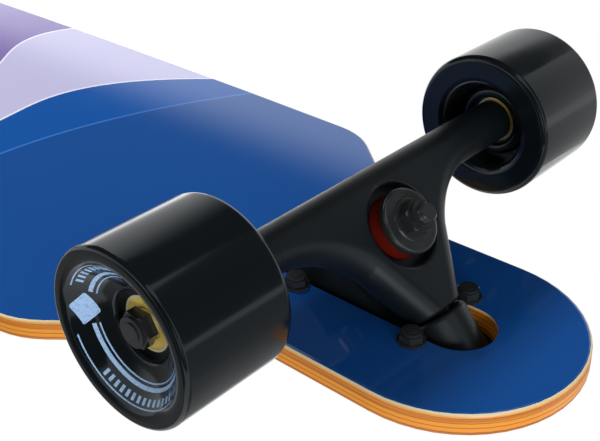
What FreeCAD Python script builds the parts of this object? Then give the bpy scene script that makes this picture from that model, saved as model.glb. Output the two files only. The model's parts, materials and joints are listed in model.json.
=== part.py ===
import FreeCAD, Part
import math
import os
import Sketcher

doc = FreeCAD.newDocument("longboard")
sheet = doc.addObject("Spreadsheet::Sheet", "Sizes")

# Every size in millimetres. Truck sizes are counted from the middle of the axle.
SIZES = {
    "axle_x": 416.5,
    "axle_z": 35.0,
    "steer_tilt": 40.0,
    # deck
    "deck_bottom": 81.0,
    "deck_thick": 11.0,
    "corner_back": 98.7,
    "corner_half": 121.0,
    "rail_radius": 8419.0,
    "neck_back": 21.6,
    "tab_half": 57.0,
    "nose_ahead": 46.5,
    "corner_round": 45.0,
    "neck_round": 30.0,
    "deck_edge_round": 2.0,
    "slot_half": 16.5,
    "slot_front": 49.2,
    "slot_back": 33.0,
    "grip_thick": 0.8,
    "grip_inset": 3.0,
    # mounting pattern
    "bolt_front": 40.0,
    "bolt_back": 23.5,
    "bolt_side": 20.65,
    "bolt_radius": 2.4,
    "bolt_hole_radius": 2.7,
    "bolt_head_radius": 4.6,
    "bolt_head_tall": 3.2,
    "bolt_length": 22.2,
    "bolt_socket_corner": 2.3,
    "bolt_socket_deep": 2.0,
    "small_nut_corner": 5.4,
    "small_nut_hex_tall": 4.1,
    "small_nut_collar_radius": 4.2,
    "small_nut_tall": 5.4,
    "small_nut_flange_radius": 6.2,
    "small_nut_flange_tall": 1.1,
    # baseplate
    "flange_back": 56.0,
    "flange_front": 72.0,
    "flange_half": 29.0,
    "flange_thick": 5.5,
    "flange_round": 12.0,
    "boss_half": 13.2,
    "boss_round": 6.0,
    "boss_end_round": 2.0,
    "boss_back": 38.0,
    "boss_nose_end": 90.0,
    "seat_low": 3.0,
    "seat_high": 33.0,
    "kingpin_up": 18.0,
    "kingpin_radius": 4.2,
    "kingpin_hole_radius": 4.3,
    "kingpin_end": 26.0,
    "kingpin_end_bevel": 0.6,
    "thread_start": 23.3,
    "thread_pitch": 1.0,
    "thread_deep": 0.5,
    "kingpin_head_seat": 40.0,
    "kingpin_head_corner": 8.1,
    "kingpin_head_tall": 6.0,
    "boss_seat": 20.0,
    "head_pocket_half": 9.5,
    "head_pocket_reach": 12.0,
    "head_pocket_back": 33.0,
    "head_pocket_front": 8.0,
    "flange_edge_round": 1.5,
    "cup_mouth": 58.5,
    "cup_end": 70.0,
    "cup_outer": 9.0,
    # hanger
    "hanger_half": 97.8,
    "arm_radius": 9.9,
    "arm_end_bevel": 1.2,
    "web_half": 64.0,
    "web_low": 9.4,
    "web_arc": 44.8,
    "shoulder_half": 27.0,
    "shoulder_up": 29.0,
    "neck_half": 12.4,
    "neck_end": 57.5,
    "neck_end_round": 2.0,
    "web_thick": 19.8,
    "web_round": 8.8,
    "seat_radius": 18.0,
    "seat_face": 4.0,
    "seat_rim_round": 2.0,
    "ring_bore": 7.5,
    "pin_radius": 6.5,
    "pin_end": 67.5,
    "pin_round": 4.0,
    "pin_gap": 0.05,
    # bushings, washers and kingpin nut, counted along the kingpin from the ring's middle
    "bushing_bore": 4.4,
    "bushing_edge": 0.8,
    "board_bushing_end": 17.5,
    "washer_gap": 0.05,
    "board_bushing_radius": 14.0,
    "road_bushing_end": 12.6,
    "road_bushing_wide": 14.2,
    "road_bushing_narrow": 11.6,
    "cup_washer_radius": 14.4,
    "cup_washer_lip": 1.0,
    "cup_washer_round": 1.4,
    "cup_washer_thick": 2.3,
    "cup_washer_step": 0.6,
    "cup_washer_step_radius": 9.6,
    "king_nut_corner": 7.8,
    "king_nut_hex_tall": 5.0,
    "king_nut_tall": 7.4,
    "king_nut_collar_radius": 6.0,
    # axle, wheels and bearings
    "axle_radius": 4.0,
    "axle_end": 130.4,
    "race_outer": 6.0,
    "speed_ring_thick": 1.0,
    "bearing_wide": 7.0,
    "bearing_radius": 11.0,
    "outer_race_inner": 10.0,
    "shield_inner": 6.3,
    "shield_sunk": 0.5,
    "spacer_long": 10.0,
    "axle_nut_corner": 7.5,
    "axle_nut_hex_tall": 4.6,
    "axle_nut_collar_radius": 6.0,
    "axle_nut_tall": 6.0,
    "wheel_radius": 35.0,
    "wheel_wide": 51.0,
    "wheel_inner_face": 85.3,
    "rim_round": 2.0,
    "rim_land": 1.5,
    "inner_rim_round": 3.0,
    "core_outer": 16.0,
    "core_stop": 9.5,
    "core_past_in": 0.8,
    "core_short_out": 0.4,
    "lip_round": 5.0,
    "dish_round": 22.0,
    "dish_start": 24.2,
    "dish_start_sunk": 5.2,
    "dish_end": 15.6,
    "dish_end_sunk": 10.4,
    "hub_edge_round": 1.6,
    "hub_mouth": 11.4,
    "dome_crest": 94.7,
    "dome_mouth_round": 2.6,
    "dome_round": 3.6,
    "recess_floor": 99.8,
    "recess_floor_start": 18.2,
    "recess_floor_end": 19.4,
    "recess_wall": 20.6,
    "recess_rim_round": 4.2,
}
for row, (alias, number) in enumerate(SIZES.items(), 1):
    sheet.set(f"A{row}", alias)
    sheet.set(f"B{row}", str(number))
    sheet.setAlias(f"B{row}", alias)
doc.recompute()


class Size:
    """A number together with the sheet expression that gives it."""

    def __init__(self, number, text):
        self.number = number
        self.text = text

    def __add__(self, other):
        other = as_size(other)
        return Size(self.number + other.number, f"({self.text} + {other.text})")

    def __sub__(self, other):
        other = as_size(other)
        return Size(self.number - other.number, f"({self.text} - {other.text})")

    def __mul__(self, other):
        other = as_size(other)
        return Size(self.number * other.number, f"({self.text} * {other.text})")

    def __neg__(self):
        return Size(-self.number, f"(0 - {self.text})")


def as_size(value):
    if isinstance(value, Size):
        return value
    return Size(float(value), f"({float(value):.4f})")


def of(alias):
    return Size(SIZES[alias], f"Sizes.{alias}")


ZERO = as_size(0)
X_AXIS = FreeCAD.Vector(1, 0, 0)
Y_AXIS = FreeCAD.Vector(0, 1, 0)
Z_AXIS = FreeCAD.Vector(0, 0, 1)
ORIGIN = FreeCAD.Vector(0, 0, 0)
# rotation of a cylinder or prism so that its length runs along +Y or +X
ALONG_Y = FreeCAD.Rotation(X_AXIS, -90)
ALONG_X = FreeCAD.Rotation(Y_AXIS, 90)


def bind(feature, prop, value):
    value = as_size(value)
    feature.setExpression(prop, f"{value.text} * 1 mm")


def put(feature, x=ZERO, y=ZERO, z=ZERO, rotation=None):
    """Place a feature with bound coordinates."""
    at = [as_size(v) for v in (x, y, z)]
    spot = FreeCAD.Vector(*[v.number for v in at])
    feature.Placement = FreeCAD.Placement(spot, rotation or FreeCAD.Rotation())
    for letter, value in zip("xyz", at):
        bind(feature, f"Placement.Base.{letter}", value)


def new_body(name):
    return doc.addObject("PartDesign::Body", name)


def new_sketch(body, role, offset=None):
    sketch = body.newObject("Sketcher::SketchObject", body.Name + "_sketch")
    plane = [f for f in body.Origin.OriginFeatures if f.Role == role][0]
    sketch.AttachmentSupport = [(plane, "")]
    sketch.MapMode = "FlatFace"
    if offset is not None:
        bind(sketch, "AttachmentOffset.Base.z", offset)
    return sketch


def hold(sketch, geo, end, axis, value):
    """Fix one coordinate of a sketch point to a bound size."""
    if abs(value.number) < 1e-9:
        sketch.addConstraint(Sketcher.Constraint("PointOnObject", geo, end, -2 if axis == "X" else -1))
        return
    index = sketch.addConstraint(Sketcher.Constraint("Distance" + axis, -1, 1, geo, end, value.number))
    bind(sketch, f"Constraints[{index}]", value)


def arc_through(start, end, radius, turn):
    """Arc from start to end; turn is +1 for anticlockwise and -1 for clockwise."""
    chord = end - start
    half = chord.Length / 2
    middle = (start + end) * 0.5
    across = FreeCAD.Vector(-chord.y, chord.x, 0) * (1 / chord.Length)
    centre = middle + across * (turn * math.sqrt(max(radius * radius - half * half, 0)))
    first, last = (start, end) if turn > 0 else (end, start)
    a0 = math.atan2(first.y - centre.y, first.x - centre.x)
    a1 = math.atan2(last.y - centre.y, last.x - centre.x)
    return Part.ArcOfCircle(Part.Circle(centre, Z_AXIS, radius), a0, a1)


def draw_loop(sketch, points, arcs=None):
    """Closed loop through bound points; arcs maps a segment's index to (radius, turn)."""
    arcs = arcs or {}
    points = [(as_size(a), as_size(b)) for a, b in points]
    spots = [FreeCAD.Vector(a.number, b.number, 0) for a, b in points]
    ends = []
    for i, start in enumerate(spots):
        end = spots[(i + 1) % len(spots)]
        if i in arcs:
            radius, turn = arcs[i]
            geo = sketch.addGeometry(arc_through(start, end, radius.number, turn), False)
            ends.append((geo, 1, 2) if turn > 0 else (geo, 2, 1))
            if abs((end - start).Length - 2 * radius.number) < 1e-6:
                # a half circle on an upright chord: its centre sits on the chord
                hold(sketch, geo, 3, "X", points[i][0])
            else:
                index = sketch.addConstraint(Sketcher.Constraint("Radius", geo, radius.number))
                bind(sketch, f"Constraints[{index}]", radius)
        else:
            geo = sketch.addGeometry(Part.LineSegment(start, end), False)
            ends.append((geo, 1, 2))
    for i, (geo, start, end) in enumerate(ends):
        following = ends[(i + 1) % len(ends)]
        sketch.addConstraint(Sketcher.Constraint("Coincident", geo, end, following[0], following[1]))
        hold(sketch, geo, start, "X", points[i][0])
        hold(sketch, geo, start, "Y", points[i][1])


def draw_circle(sketch, x, y, radius):
    x, y, radius = as_size(x), as_size(y), as_size(radius)
    spot = FreeCAD.Vector(x.number, y.number, 0)
    geo = sketch.addGeometry(Part.Circle(spot, Z_AXIS, radius.number), False)
    index = sketch.addConstraint(Sketcher.Constraint("Radius", geo, radius.number))
    bind(sketch, f"Constraints[{index}]", radius)
    hold(sketch, geo, 3, "X", x)
    hold(sketch, geo, 3, "Y", y)


def draw_axis(sketch, start, end):
    """Construction line that a profile is turned about."""
    points = [[as_size(v) for v in spot] for spot in (start, end)]
    spots = [FreeCAD.Vector(a.number, b.number, 0) for a, b in points]
    line = sketch.addGeometry(Part.LineSegment(*spots), True)
    for end_number, (a, b) in zip((1, 2), points):
        hold(sketch, line, end_number, "X", a)
        hold(sketch, line, end_number, "Y", b)


def pad(body, sketch, length, midplane=False):
    feature = body.newObject("PartDesign::Pad", body.Name + "_pad")
    feature.Profile = sketch
    feature.Midplane = midplane
    bind(feature, "Length", length)
    return feature


def revolve(body, sketch, axis):
    feature = body.newObject("PartDesign::Revolution", body.Name + "_turned")
    feature.Profile = sketch
    feature.ReferenceAxis = (sketch, [axis])
    feature.Angle = 360.0
    return feature


def pocket(body, sketch, length, midplane=False, reverse=False):
    """Cut the sketch out of the body, turning the cut round if it removed nothing."""
    doc.recompute()
    before = body.Shape.Volume
    feature = body.newObject("PartDesign::Pocket", body.Name + "_cut")
    feature.Profile = sketch
    feature.Midplane = midplane
    feature.Reversed = reverse
    bind(feature, "Length", length)
    doc.recompute()
    if not body.Shape.Volume < before - 1e-6:
        feature.Reversed = not reverse
        doc.recompute()
    return feature


def round_edges(body, radius, wanted):
    """Round the edges of the body's tip that the test picks."""
    doc.recompute()
    tip = body.Tip
    names = [f"Edge{i}" for i, edge in enumerate(tip.Shape.Edges, 1) if wanted(edge)]
    feature = body.newObject("PartDesign::Fillet", body.Name + "_round")
    feature.Base = (tip, names)
    bind(feature, "Radius", radius)
    doc.recompute()
    return feature


def middle_of(edge):
    return edge.valueAt((edge.FirstParameter + edge.LastParameter) / 2)


def cylinder(name, radius, length, **spot):
    feature = doc.addObject("Part::Cylinder", name)
    bind(feature, "Radius", radius)
    bind(feature, "Height", length)
    put(feature, **spot)
    return feature


def hexagon(name, corner, length, **spot):
    feature = doc.addObject("Part::Prism", name)
    feature.Polygon = 6
    bind(feature, "Circumradius", corner)
    bind(feature, "Height", length)
    put(feature, **spot)
    return feature


def fused(name, first, second):
    feature = doc.addObject("Part::Fuse", name)
    feature.Base = first
    feature.Tool = second
    return feature


def cut(name, base, tool):
    feature = doc.addObject("Part::Cut", name)
    feature.Base = base
    feature.Tool = tool
    return feature


def group(name, members):
    feature = doc.addObject("Part::Compound", name)
    feature.Links = members
    return feature


def mirrored(name, source):
    feature = doc.addObject("Part::Mirroring", name)
    feature.Source = source
    feature.Base = ORIGIN
    feature.Normal = Y_AXIS
    return feature


nodes = []


def finish_node(feature, label):
    feature.Label = label
    nodes.append(feature)
    return feature


# Deck: one outline, a straight pad, a slot and bolt holes at each end.
def draw_deck_outline(sketch, inset):
    corner_x = of("axle_x") - of("corner_back") - inset * 0.35
    corner_y = of("corner_half") - inset
    neck_x = of("axle_x") - of("neck_back") - inset * 0.35
    tab_y = of("tab_half") - inset
    nose_x = of("axle_x") + of("nose_ahead")
    right_end = [(corner_x, -corner_y), (neck_x, -tab_y), (nose_x, -tab_y)]
    right_back = [(nose_x, tab_y), (neck_x, tab_y), (corner_x, corner_y)]
    left_end = [(-corner_x, corner_y), (-neck_x, tab_y), (-nose_x, tab_y)]
    left_back = [(-nose_x, -tab_y), (-neck_x, -tab_y), (-corner_x, -corner_y)]
    loop = right_end + right_back + left_end + left_back
    arcs = {2: (tab_y, 1), 5: (of("rail_radius"), 1), 8: (tab_y, 1), 11: (of("rail_radius"), 1)}
    draw_loop(sketch, loop, arcs)


def is_upright(edge):
    low, high = edge.Vertexes[0].Point, edge.Vertexes[-1].Point
    return abs(low.x - high.x) < 1e-4 and abs(low.y - high.y) < 1e-4 and abs(low.z - high.z) > 0.1


def at_corner(edge):
    spot = middle_of(edge)
    return is_upright(edge) and abs(spot.y) > 100


def at_neck(edge):
    spot = middle_of(edge)
    return is_upright(edge) and abs(spot.y) < 100 and abs(spot.x) < SIZES["axle_x"]


deck = new_body("Deck")
put(deck, z=of("deck_bottom"))
deck_sketch = new_sketch(deck, "XY_Plane")
draw_deck_outline(deck_sketch, ZERO)
pad(deck, deck_sketch, of("deck_thick"))
round_edges(deck, of("corner_round"), at_corner)
round_edges(deck, of("neck_round"), at_neck)


def is_flat_outline(edge):
    box = edge.BoundBox
    return box.ZLength < 1e-4


round_edges(deck, of("deck_edge_round"), is_flat_outline)
slot_sketch = new_sketch(deck, "XY_Plane")
for side in (1, -1):
    slot_a = (of("axle_x") - of("slot_back")) * side
    slot_b = (of("axle_x") + of("slot_front")) * side
    start, end = (slot_a, slot_b) if side > 0 else (slot_b, slot_a)
    half = of("slot_half")
    draw_loop(slot_sketch, [(start, -half), (end, -half), (end, half), (start, half)],
              {1: (half, 1), 3: (half, 1)})
    for along in (of("bolt_front"), -of("bolt_back")):
        for across in (of("bolt_side"), -of("bolt_side")):
            draw_circle(slot_sketch, (of("axle_x") + along) * side, across, of("bolt_hole_radius"))
pocket(deck, slot_sketch, of("deck_thick") + 2, reverse=True)
finish_node(deck, "deck")

# Grip sheet on the standing side, cut out round each baseplate.
grip = new_body("Grip")
put(grip, z=of("deck_bottom") + of("deck_thick"))
grip_sketch = new_sketch(grip, "XY_Plane")
draw_deck_outline(grip_sketch, of("grip_inset"))
pad(grip, grip_sketch, of("grip_thick"))
round_edges(grip, of("corner_round"), at_corner)
round_edges(grip, of("neck_round"), at_neck)
window_sketch = new_sketch(grip, "XY_Plane")
for side in (1, -1):
    low = (of("axle_x") - of("flange_back") - 1.5) * side
    high = (of("axle_x") + of("flange_front") + 1.5) * side
    start, end = (low, high) if side > 0 else (high, low)
    half = of("flange_half") + 1.5
    draw_loop(window_sketch, [(start, -half), (end, -half), (end, half), (start, half)])
pocket(grip, window_sketch, of("grip_thick") + 1, reverse=True)


def at_window(edge):
    spot = middle_of(edge)
    return is_upright(edge) and abs(spot.y) < 35


round_edges(grip, of("flange_round"), at_window)
finish_node(grip, "grip_tape")

TILT = FreeCAD.Rotation(Y_AXIS, SIZES["steer_tilt"])
sin_tilt = Size(math.sin(math.radians(SIZES["steer_tilt"])), "sin(Sizes.steer_tilt * 1 deg)")
cos_tilt = Size(math.cos(math.radians(SIZES["steer_tilt"])), "cos(Sizes.steer_tilt * 1 deg)")
tan_tilt = Size(math.tan(math.radians(SIZES["steer_tilt"])), "tan(Sizes.steer_tilt * 1 deg)")
cot_tilt = Size(1 / math.tan(math.radians(SIZES["steer_tilt"])), "(1 / tan(Sizes.steer_tilt * 1 deg))")


def tilted_point(across, along):
    """Side-view place of a point given along the kingpin and along the pivot line."""
    across, along = as_size(across), as_size(along)
    return across * cos_tilt + along * sin_tilt, along * cos_tilt - across * sin_tilt


def boss_outline(top):
    """Baseplate block in side view, from the kingpin seat forward to the pivot line."""
    seat_low = tilted_point(-of("boss_seat"), of("seat_low"))
    seat_high = tilted_point(-of("boss_seat"), of("seat_high"))
    end_inner = tilted_point(-of("boss_half"), of("cup_mouth"))
    end_middle = tilted_point(ZERO, of("cup_mouth"))
    back = -of("boss_back")
    back_low = seat_low[1] + (seat_low[0] - back) * tan_tilt
    front = end_middle[0] + (top - end_middle[1]) * tan_tilt
    return [seat_low, (back, back_low), (back, top), (front, top), end_middle, end_inner, seat_high]


def across_and_along(spot):
    """The opposite of tilted_point, in plain numbers."""
    across = spot.x * cos_tilt.number - spot.z * sin_tilt.number
    along = spot.x * sin_tilt.number + spot.z * cos_tilt.number
    return across, along


def head_pocket_outline(top):
    """Recess for the kingpin's head, open on the standing side."""
    low = tilted_point(-of("kingpin_head_seat"), of("kingpin_up") - of("head_pocket_reach"))
    back = -of("head_pocket_back")
    front = -of("head_pocket_front")
    back_low = low[1] + (low[0] - back) * tan_tilt
    front_low = low[1] + (front - low[0]) * cot_tilt
    return [(back, top), (back, back_low), low, (front, front_low), (front, top)]


def ring_of(name, inner, outer, start, width):
    """Plain ring about the axle line, from start outward."""
    solid = cylinder(name + "_out", outer, width, y=start, rotation=ALONG_Y)
    hole = cylinder(name + "_in", inner, width + 2, y=start - 1, rotation=ALONG_Y)
    return cut(name, solid, hole)


def nut_of(name, corner, hex_tall, collar, tall, bore, rotation, flange=None, **spot):
    """Lock nut: hexagon with a round collar, standing on the given spot; flange is (radius, height)."""
    prism = hexagon(name + "_hex", corner, hex_tall)
    # the corners are taken off by a 30 degree cone that just reaches the hexagon's flats
    flats = corner * 0.91
    bevel = doc.addObject("Part::Cone", name + "_bevel")
    bind(bevel, "Radius1", flats + hex_tall * math.sqrt(3))
    bind(bevel, "Radius2", flats)
    bind(bevel, "Height", hex_tall)
    solid = doc.addObject("Part::Common", name + "_bevelled")
    solid.Base = prism
    solid.Tool = bevel
    top = cylinder(name + "_collar", collar, tall)
    both = fused(name + "_solid", solid, top)
    if flange is not None:
        both = fused(name + "_flanged", both, cylinder(name + "_flange", *flange))
    hole = cylinder(name + "_hole", bore, tall + 2, z=-1)
    nut = cut(name, both, hole)
    put(nut, rotation=rotation, **spot)
    return nut


def turned_body(name, plane, points, axis, arcs=None):
    body = new_body(name)
    sketch = new_sketch(body, plane)
    draw_loop(sketch, points, arcs)
    revolve(body, sketch, axis)
    return body


def build_truck(end, side):
    """All the pieces of one truck; side is +1 at the front and -1 at the rear."""
    level = FreeCAD.Rotation(Z_AXIS, 0 if side > 0 else 180)
    tilted = level * TILT
    spot = {"x": of("axle_x") * side, "z": of("axle_z")}

    def place_level(feature, label):
        put(feature, rotation=level, **spot)
        finish_node(feature, f"{end}_{label}")

    def place_tilted(feature, label):
        put(feature, rotation=tilted, **spot)
        finish_node(feature, f"{end}_{label}")

    flange_low = of("deck_bottom") + of("deck_thick") - of("axle_z")
    flange_top = flange_low + of("flange_thick")

    # baseplate: flange on the standing side, block through the slot, holes for kingpin and pivot cup
    plate = new_body(end + "_plate")
    flange_sketch = new_sketch(plate, "XY_Plane", flange_low)
    half = of("flange_half")
    draw_loop(flange_sketch, [(-of("flange_back"), -half), (of("flange_front"), -half),
                              (of("flange_front"), half), (-of("flange_back"), half)])
    pad(plate, flange_sketch, of("flange_thick"))
    round_edges(plate, of("flange_round"), is_upright)

    def on_flange_top(edge):
        return edge.BoundBox.ZLength < 1e-4 and abs(middle_of(edge).z - flange_top.number) < 1e-3

    round_edges(plate, of("flange_edge_round"), on_flange_top)
    boss_sketch = new_sketch(plate, "XZ_Plane")
    draw_loop(boss_sketch, boss_outline(flange_low + 1))
    pad(plate, boss_sketch, of("boss_half") * 2, midplane=True)

    def on_boss_side(edge):
        at = middle_of(edge)
        return (abs(abs(at.y) - SIZES["boss_half"]) < 1e-3 and edge.BoundBox.YLength < 1e-4
                and edge.BoundBox.ZMax < flange_low.number + 0.1)

    def on_boss_seat(edge):
        return on_boss_side(edge) and middle_of(edge).z < 34

    round_edges(plate, of("boss_round"), on_boss_seat)
    nose_sketch = new_sketch(plate, "XZ_Plane")
    nose_corners = [(ZERO, of("cup_mouth")), (of("boss_half"), of("cup_mouth")),
                    (of("boss_half"), of("boss_nose_end")), (ZERO, of("boss_nose_end"))]
    draw_loop(nose_sketch, [tilted_point(across, along) for across, along in nose_corners])
    nose_line = [tilted_point(ZERO, of("cup_mouth")), tilted_point(ZERO, of("boss_nose_end"))]
    draw_axis(nose_sketch, *nose_line)
    revolve(plate, nose_sketch, "Axis0")
    trim_sketch = new_sketch(plate, "XY_Plane", flange_top)
    reach = of("flange_front") + of("flange_half")
    draw_loop(trim_sketch, [(-reach, -half * 2), (reach, -half * 2), (reach, half * 2), (-reach, half * 2)])
    pocket(plate, trim_sketch, of("boss_nose_end"), reverse=True)

    def on_boss_end(edge):
        across, along = across_and_along(middle_of(edge))
        low, high = (across_and_along(v.Point) for v in (edge.Vertexes[0], edge.Vertexes[-1]))
        level_edge = max(abs(v - SIZES["cup_mouth"]) for v in (along, low[1], high[1])) < 1e-3
        return level_edge and across > 0.5 - SIZES["boss_half"]

    round_edges(plate, of("boss_end_round"), on_boss_end)
    bolt_sketch = new_sketch(plate, "XY_Plane", flange_top + 1)
    for along in (of("bolt_front"), -of("bolt_back")):
        for across in (of("bolt_side"), -of("bolt_side")):
            draw_circle(bolt_sketch, along, across, of("bolt_hole_radius"))
    pocket(plate, bolt_sketch, of("flange_thick") + 3)
    head_sketch = new_sketch(plate, "XZ_Plane")
    draw_loop(head_sketch, head_pocket_outline(flange_top + 2))
    pocket(plate, head_sketch, of("head_pocket_half") * 2, midplane=True)
    king_hole = cylinder(end + "_king_hole", of("kingpin_hole_radius"), 30,
                         x=of("kingpin_up") * sin_tilt - (of("boss_seat") + 25) * cos_tilt,
                         z=of("kingpin_up") * cos_tilt + (of("boss_seat") + 25) * sin_tilt,
                         rotation=TILT * ALONG_X)
    drilled = cut(end + "_drilled", plate, king_hole)
    hole_start = of("cup_mouth") - 6
    cup_hole = cylinder(end + "_cup_hole", of("cup_outer"), of("cup_end") - hole_start,
                        x=hole_start * sin_tilt, z=hole_start * cos_tilt, rotation=TILT)
    baseplate = cut(end + "_bored", drilled, cup_hole)
    place_level(baseplate, "baseplate")

    # pivot cup with the pin's shape inside it
    bore = of("pin_radius") + of("pin_gap")
    bore_end = of("pin_end") + 0.6
    cup_profile = [(bore, of("cup_mouth")), (of("cup_outer"), of("cup_mouth")),
                   (of("cup_outer"), of("cup_end")), (ZERO, of("cup_end")),
                   (ZERO, bore_end), (bore, bore_end)]
    cup = turned_body(end + "_cup", "XZ_Plane", cup_profile, "V_Axis")
    place_tilted(cup, "pivot_cup")

    # pieces turned about the kingpin: places are counted along it, then out from its middle
    up = of("kingpin_up")

    def about_kingpin(name, profile, arcs=None):
        body = new_body(end + "_" + name)
        sketch = new_sketch(body, "XZ_Plane")
        draw_loop(sketch, [(as_size(a), up + r) for a, r in profile], arcs)
        draw_axis(sketch, (-30, up), (30, up))
        revolve(body, sketch, "Axis0")
        return body

    # kingpin: hexagon head on the standing side, turned grooves for the thread past its nut
    thick = of("kingpin_radius")
    shank_profile = [(-of("kingpin_head_seat"), ZERO), (-of("kingpin_head_seat"), thick)]
    for groove in (0, 1):
        groove_start = of("thread_start") + of("thread_pitch") * groove
        shank_profile += [(groove_start, thick),
                          (groove_start + of("thread_pitch") * 0.4, thick - of("thread_deep")),
                          (groove_start + of("thread_pitch") * 0.8, thick)]
    shank_profile += [(of("kingpin_end") - of("kingpin_end_bevel"), thick),
                      (of("kingpin_end"), thick - of("kingpin_end_bevel")), (of("kingpin_end"), ZERO)]
    shank = about_kingpin("shank", shank_profile)
    head = hexagon(end + "_head", of("kingpin_head_corner"), of("kingpin_head_tall"),
                   x=-of("kingpin_head_seat") - of("kingpin_head_tall"), z=up, rotation=ALONG_X)
    place_tilted(fused(end + "_king", shank, head), "kingpin")

    # bushings and washers
    inner = of("bushing_bore")
    seat = of("seat_face")
    deep = of("board_bushing_end")
    edge = of("bushing_edge")
    board_radius = of("board_bushing_radius")
    board_bushing = [(-deep, inner), (-seat, inner), (-seat, board_radius - edge),
                     (-seat - edge, board_radius), (edge - deep, board_radius), (-deep, board_radius - edge)]
    place_tilted(about_kingpin("board_bushing", board_bushing), "boardside_bushing")
    high = of("road_bushing_end")
    road_wide = of("road_bushing_wide")
    road_bushing = [(seat, inner), (high, inner), (high, of("road_bushing_narrow")),
                    (seat + edge, road_wide), (seat, road_wide - edge)]
    place_tilted(about_kingpin("road_bushing", road_bushing), "roadside_bushing")
    washer_start = of("washer_gap") - of("boss_seat")
    board_washer = [(washer_start, inner), (-deep, inner), (-deep, board_radius),
                    (washer_start, board_radius - edge * 2)]
    place_tilted(about_kingpin("board_washer", board_washer), "boardside_washer")
    lip = of("cup_washer_radius")
    lip_end = high - of("cup_washer_lip")
    edge_round = of("cup_washer_round")
    outer_face = high + of("cup_washer_thick")
    step = outer_face + of("cup_washer_step")
    step_radius = of("cup_washer_step_radius")
    cup_washer = [(high, inner), (high, of("road_bushing_narrow") + 0.3), (lip_end, lip - 0.5),
                  (lip_end, lip), (outer_face - edge_round, lip), (outer_face, lip - edge_round),
                  (outer_face, step_radius), (step, step_radius - of("cup_washer_step")), (step, inner)]
    washer_body = about_kingpin("cup_washer", cup_washer, {4: (edge_round, -1)})
    place_tilted(washer_body, "roadside_washer")
    nut = nut_of(end + "_king_nut", of("king_nut_corner"), of("king_nut_hex_tall"),
                 of("king_nut_collar_radius"), of("king_nut_tall"), thick, ALONG_X, x=step, z=up)
    place_tilted(group(end + "_king_nut_node", [nut]), "kingpin_nut")

    # mounting bolts from the standing side, lock nuts on the underside
    bolts = []
    nuts = []
    upside_down = FreeCAD.Rotation(X_AXIS, 180)
    nut_flange = (of("small_nut_flange_radius"), of("small_nut_flange_tall"))
    for i, along in enumerate((of("bolt_front"), -of("bolt_back"))):
        for j, across in enumerate((of("bolt_side"), -of("bolt_side"))):
            tag = f"{end}_bolt_{i}{j}"
            body = cylinder(tag + "_body", of("bolt_radius"), of("bolt_length"),
                            x=along, y=across, z=flange_top - of("bolt_length"))
            cap = cylinder(tag + "_cap", of("bolt_head_radius"), of("bolt_head_tall"),
                           x=along, y=across, z=flange_top)
            socket_floor = flange_top + of("bolt_head_tall") - of("bolt_socket_deep")
            socket = hexagon(tag + "_socket", of("bolt_socket_corner"), of("bolt_socket_deep") + 1,
                             x=along, y=across, z=socket_floor)
            bolts.append(cut(tag, fused(tag + "_solid", body, cap), socket))
            nuts.append(nut_of(tag + "_nut", of("small_nut_corner"), of("small_nut_hex_tall"),
                               of("small_nut_collar_radius"), of("small_nut_tall"), of("bolt_radius"),
                               upside_down, nut_flange, x=along, y=across,
                               z=of("deck_bottom") - of("axle_z")))
    place_level(group(end + "_bolts", bolts), "mounting_bolts")
    place_level(group(end + "_nuts", nuts), "mounting_nuts")

    # hanger: web, arms, ring and pivot pin
    hanger = new_body(end + "_casting")
    web_sketch = new_sketch(hanger, "YZ_Plane")
    shoulder = (of("shoulder_half"), of("shoulder_up"))
    web = [(-of("web_half"), 0), (of("web_half"), 0), (of("web_half"), of("web_low")), shoulder,
           (of("neck_half"), of("neck_end")), (-of("neck_half"), of("neck_end")),
           (-shoulder[0], shoulder[1]), (-of("web_half"), of("web_low"))]
    draw_loop(web_sketch, web, {2: (of("web_arc"), -1), 6: (of("web_arc"), -1)})
    pad(hanger, web_sketch, of("web_thick"), midplane=True)

    def on_web_face(edge):
        at = middle_of(edge)
        return edge.BoundBox.XLength < 1e-4 and abs(abs(at.x) - SIZES["web_thick"] / 2) < 1e-3

    def on_web_side(edge):
        return on_web_face(edge) and 12 < middle_of(edge).z < SIZES["neck_end"] - 2

    round_edges(hanger, of("web_round"), on_web_side)

    def on_neck_end(edge):
        return edge.BoundBox.ZLength < 1e-4 and abs(middle_of(edge).z - SIZES["neck_end"]) < 1e-3

    round_edges(hanger, of("neck_end_round"), on_neck_end)
    arm_sketch = new_sketch(hanger, "XY_Plane")
    bevel = of("arm_end_bevel")
    arm = [(ZERO, of("hanger_half")), (of("arm_radius") - bevel, of("hanger_half")),
           (of("arm_radius"), of("hanger_half") - bevel)]
    draw_loop(arm_sketch, [(r, -y) for r, y in arm] + [(r, y) for r, y in reversed(arm)])
    revolve(hanger, arm_sketch, "V_Axis")
    pin_sketch = new_sketch(hanger, "XZ_Plane")
    draw_loop(pin_sketch, [(0, of("neck_end") - 10), (of("pin_radius"), of("neck_end") - 10),
                           (of("pin_radius"), of("pin_end") - of("pin_round")),
                           (of("pin_radius") - of("pin_round"), of("pin_end")), (0, of("pin_end"))],
              {2: (of("pin_round"), 1)})
    revolve(hanger, pin_sketch, "V_Axis")
    for out, face in ((1, of("seat_face")), (-1, -of("seat_face"))):
        seat_sketch = new_sketch(hanger, "YZ_Plane", face)
        draw_circle(seat_sketch, 0, up, of("seat_radius"))
        pocket(hanger, seat_sketch, 30, reverse=out > 0)

    def is_seat_circle(edge):
        return hasattr(edge.Curve, "Radius") and abs(edge.Curve.Radius - SIZES["seat_radius"]) < 1e-3

    def on_seat_rim(edge):
        return on_web_face(edge) and is_seat_circle(edge)

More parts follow.
